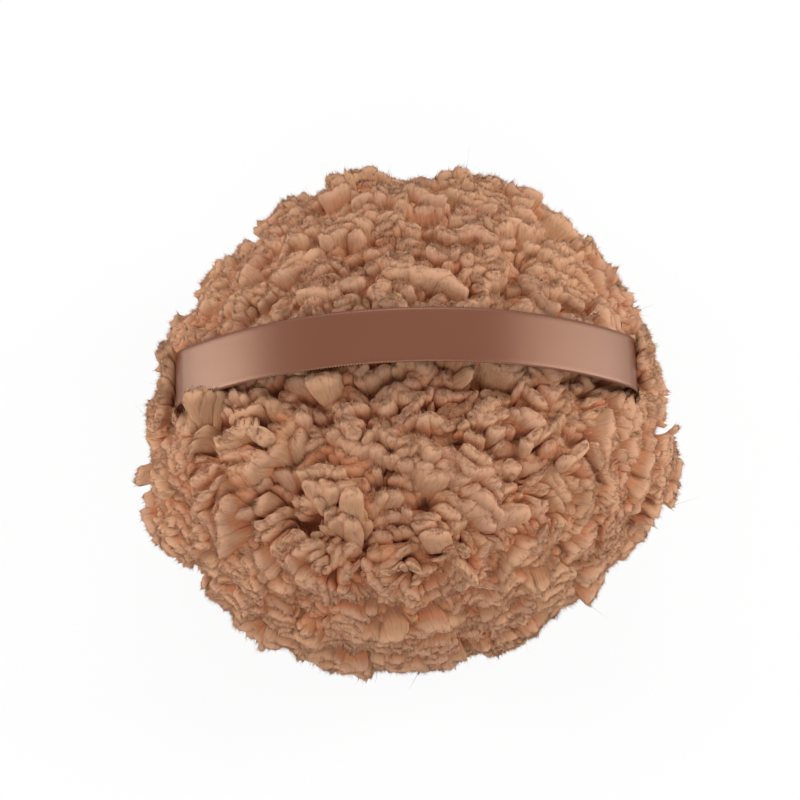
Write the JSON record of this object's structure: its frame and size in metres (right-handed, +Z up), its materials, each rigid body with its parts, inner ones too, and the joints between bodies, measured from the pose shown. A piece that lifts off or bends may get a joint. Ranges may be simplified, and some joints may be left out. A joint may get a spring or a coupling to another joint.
{
  "type": "powder puff",
  "caption": "Round stuffed powder puff in curly plush pile, with a satin ribbon handle arched over its back to hold it against the fingers.",
  "frame": {"origin": "middle of the flat patch that the powder face rests on", "axes": "+Z up through the back of the puff, +X along the ribbon, the sewn seam level at z = 0.034 m"},
  "size_m": [0.1092, 0.1082, 0.0814],
  "materials": {
    "plush_pile": "matte",
    "ground_cloth": "matte",
    "fibre_filling": "matte",
    "sewing_thread": "satin",
    "satin_ribbon": "satin"
  },
  "bodies": {
    "puff": {"back_pile": "plush_pile", "face_pile": "plush_pile", "back_ground_cloth": "ground_cloth", "face_ground_cloth": "ground_cloth", "fibre_filling": "fibre_filling", "needle_thread": "sewing_thread", "bobbin_thread": "sewing_thread", "closing_thread": "sewing_thread", "ribbon_tack_left": "sewing_thread", "ribbon_tack_right": "sewing_thread", "ribbon_end_left": "satin_ribbon", "ribbon_end_right": "satin_ribbon"},
    "ribbon": {"ribbon_loop": "satin_ribbon"}
  },
  "joints": [
    {"name": "ribbon_swing", "type": "hinge", "parent": "puff", "child": "ribbon", "pos_m": [0, 0, 0.05487], "axis": [1, 0, 0], "range_deg": [-25, 25], "stiffness_Nm_per_rad": 0.0004}
  ]
}
